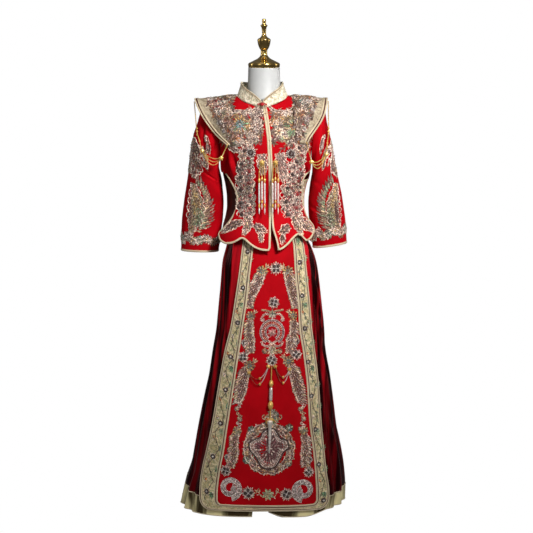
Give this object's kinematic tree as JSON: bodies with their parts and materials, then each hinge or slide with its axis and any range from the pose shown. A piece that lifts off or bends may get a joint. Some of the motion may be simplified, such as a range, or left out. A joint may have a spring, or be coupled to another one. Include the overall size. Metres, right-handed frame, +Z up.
{
  "type": "chinese wedding dress on dress form",
  "caption": "Two-garment Chinese wedding dress, a winged stand-collar jacket over a long panelled skirt with a hem band, on a limbless dress form.",
  "frame": {"origin": "on the floor, at the middle of the flat underside of the dress form's base", "axes": "+Z up, the front faces -Y, +X to the viewer's right from the front"},
  "size_m": [0.5535, 0.4738, 1.6045],
  "materials": {
    "red_cloth": "dull red woven silk ground, densely embroidered",
    "wine_satin": "glossy wine red satin",
    "gold_satin": "glossy pale gold satin",
    "gold_brocade": "gold brocade with small flowers",
    "cream_binding": "pale gold woven trim",
    "dark_lining": "dark red-brown lining",
    "metal_thread": "couched gold and silver thread over padding",
    "gold_bead": "polished gold beads",
    "form_white": "smooth white",
    "gold_metal": "polished gold"
  },
  "bodies": {
    "root": {"back_binding": "cream_binding", "chest_flowers_left": "metal_thread", "chest_flowers_right": "metal_thread", "chest_rosette_left": "metal_thread", "chest_rosette_right": "metal_thread", "chest_tassel_left": "gold_bead", "chest_tassel_right": "gold_bead", "coin_foot_left": "metal_thread", "coin_foot_right": "metal_thread", "coin_middle": "metal_thread", "coin_top": "metal_thread", "coin_upper": "metal_thread", "collar": "gold_brocade", "collar_binding": "cream_binding", "corner_scroll_left": "metal_thread", "corner_scroll_right": "metal_thread", "cuff_binding_left": "cream_binding", "cuff_binding_right": "cream_binding", "form_base": "gold_metal", "form_neck_cap": "gold_metal", "form_pole": "gold_metal", "form_torso": "form_white", "front_binding_left": "cream_binding", "front_binding_right": "cream_binding", "hem_band_back_left": "gold_satin", "hem_band_back_right": "gold_satin", "hem_band_front_left": "gold_satin", "hem_band_front_right": "gold_satin", "jacket_back": "red_cloth", "jacket_front_left": "red_cloth", "jacket_front_right": "red_cloth", "knot_button": "red_cloth", "lotus": "metal_thread", "panel_border": "gold_brocade", "peony_medallion": "metal_thread", "peony_wreath": "metal_thread", "ring_medallion": "metal_thread", "satin_back_left": "wine_satin", "satin_back_right": "wine_satin", "satin_front_left": "wine_satin", "satin_front_right": "wine_satin", "shoulder_swag_left": "gold_bead", "shoulder_swag_right": "gold_bead", "shoulder_wing_left": "gold_brocade", "shoulder_wing_right": "gold_brocade", "side_lining_left": "dark_lining", "side_lining_right": "dark_lining", "skirt_front_panel": "red_cloth", "skirt_swag_left": "gold_bead", "skirt_swag_right": "gold_bead", "skirt_tassel": "gold_bead", "skirt_waistband": "wine_satin", "sleeve_bird_left": "metal_thread", "sleeve_bird_right": "metal_thread", "sleeve_left": "red_cloth", "sleeve_right": "red_cloth", "vine_left": "metal_thread", "vine_right": "metal_thread", "wing_band_left": "cream_binding", "wing_band_right": "cream_binding"}
  },
  "joints": []
}
